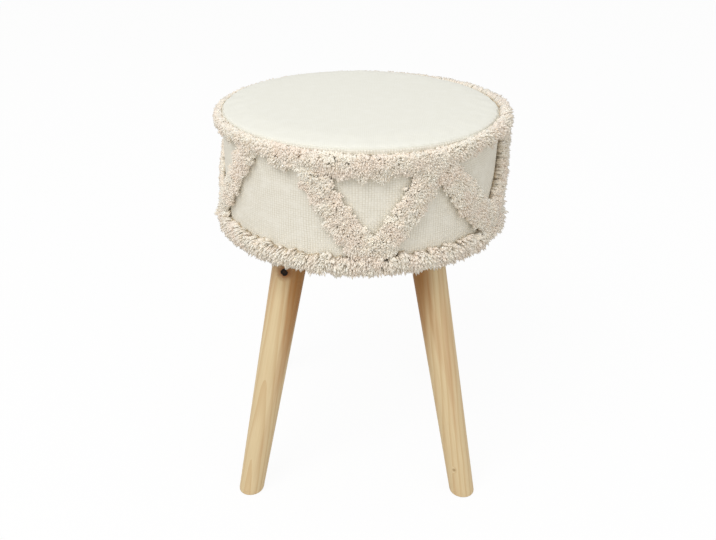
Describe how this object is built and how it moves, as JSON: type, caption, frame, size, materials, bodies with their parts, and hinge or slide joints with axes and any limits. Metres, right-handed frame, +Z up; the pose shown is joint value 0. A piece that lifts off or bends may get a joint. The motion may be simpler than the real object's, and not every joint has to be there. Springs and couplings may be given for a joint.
{
  "type": "stool",
  "caption": "Round padded stool: drum seat with a cloth cover, tufted pile bands round both rims and a tufted zigzag between them, on splayed, tapered, screw-in pine legs.",
  "frame": {"origin": "on the floor, at the middle of the stool's footprint, on the drum's axis", "axes": "+Z up along the drum's axis, -Y towards the front, +X to the right as seen from the front"},
  "size_m": [0.332, 0.3321, 0.45],
  "materials": {
    "pine": "sanded, clear matt oil",
    "plywood": "raw",
    "softwood": "sawn",
    "hardboard": "raw",
    "cover_cloth": "woven cotton",
    "pile": "cut cotton pile",
    "foam": "open-cell foam",
    "wadding": "bonded fibre",
    "dust_cloth": "non-woven",
    "zinc_steel": "zinc plated"
  },
  "bodies": {
    "root": {"base_board": "plywood", "top_board": "plywood", "drum_hoop": "hardboard", "post_front_left": "softwood", "post_front_right": "softwood", "post_rear_left": "softwood", "post_rear_right": "softwood", "post_screws": "zinc_steel", "foam_pad": "foam", "side_wadding": "wadding", "top_cover": "cover_cloth", "side_cover": "cover_cloth", "dust_cover": "dust_cloth", "cover_staples": "zinc_steel", "top_pile_band": "pile", "bottom_pile_band": "pile", "chevron_pile_1": "pile", "chevron_pile_2": "pile", "chevron_pile_3": "pile", "chevron_pile_4": "pile", "chevron_pile_5": "pile", "leg_front_left": "pine", "leg_front_right": "pine", "leg_rear_left": "pine", "leg_rear_right": "pine", "hanger_bolt_front_left": "zinc_steel", "hanger_bolt_front_right": "zinc_steel", "hanger_bolt_rear_left": "zinc_steel", "hanger_bolt_rear_right": "zinc_steel", "leg_plate_front_left": "zinc_steel", "leg_plate_front_right": "zinc_steel", "leg_plate_rear_left": "zinc_steel", "leg_plate_rear_right": "zinc_steel", "leg_plate_screws": "zinc_steel"}
  },
  "joints": []
}
